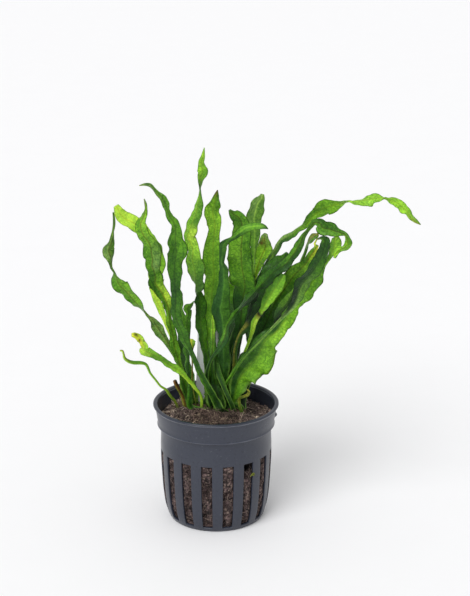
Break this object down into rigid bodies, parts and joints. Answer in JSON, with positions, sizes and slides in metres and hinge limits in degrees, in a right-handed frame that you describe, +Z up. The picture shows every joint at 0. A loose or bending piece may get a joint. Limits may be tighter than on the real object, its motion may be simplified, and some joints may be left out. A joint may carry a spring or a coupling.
{
  "type": "potted flaming java fern",
  "caption": "Java fern with long wavy leaves on a creeping rhizome, in fibre soil inside a dark round slotted net pot with a plain upright label.",
  "frame": {"origin": "centre of the pot's underside, in the plane that it stands on", "axes": "+Z up along the pot's axis; the picture looks along +Y, so +X is to its right"},
  "size_m": [0.131, 0.0606, 0.1674],
  "materials": {
    "pot_plastic": "satin moulded plastic",
    "fibre_soil": "rough damp fibre",
    "rhizome": "rough bark",
    "label_plastic": "smooth, blank",
    "leaf_mid": "satin leaf",
    "leaf_lime": "satin leaf",
    "leaf_bright": "satin leaf",
    "leaf_dark": "satin leaf",
    "leaf_blue": "satin leaf",
    "leaf_brown": "satin leaf"
  },
  "bodies": {
    "root": {"fibre_soil": "fibre_soil", "leaf_arched_blue": "leaf_blue", "leaf_back_centre": "leaf_dark", "leaf_back_right": "leaf_dark", "leaf_back_tall": "leaf_dark", "leaf_big_right": "leaf_bright", "leaf_broad_centre": "leaf_mid", "leaf_broad_right": "leaf_mid", "leaf_curled_lime": "leaf_lime", "leaf_dark_right": "leaf_dark", "leaf_far_left": "leaf_mid", "leaf_fork_right": "leaf_mid", "leaf_front_dark": "leaf_dark", "leaf_hooked": "leaf_dark", "leaf_left_back": "leaf_dark", "leaf_left_lime": "leaf_lime", "leaf_left_mid": "leaf_mid", "leaf_long_right": "leaf_bright", "leaf_round_tip": "leaf_blue", "leaf_small_centre": "leaf_mid", "leaf_small_dark": "leaf_dark", "leaf_small_yellow": "leaf_lime", "leaf_spotted_tip": "leaf_mid", "leaf_tall_bright": "leaf_bright", "leaf_tall_centre": "leaf_bright", "leaf_thin_right": "leaf_mid", "leaf_yellow_neck": "leaf_lime", "leaflet_curled_right": "leaf_brown", "net_pot": "pot_plastic", "plant_label": "label_plastic", "rhizome": "rhizome", "shoot_curly_left": "leaf_lime", "stub_brown_left": "leaf_brown"}
  },
  "joints": []
}
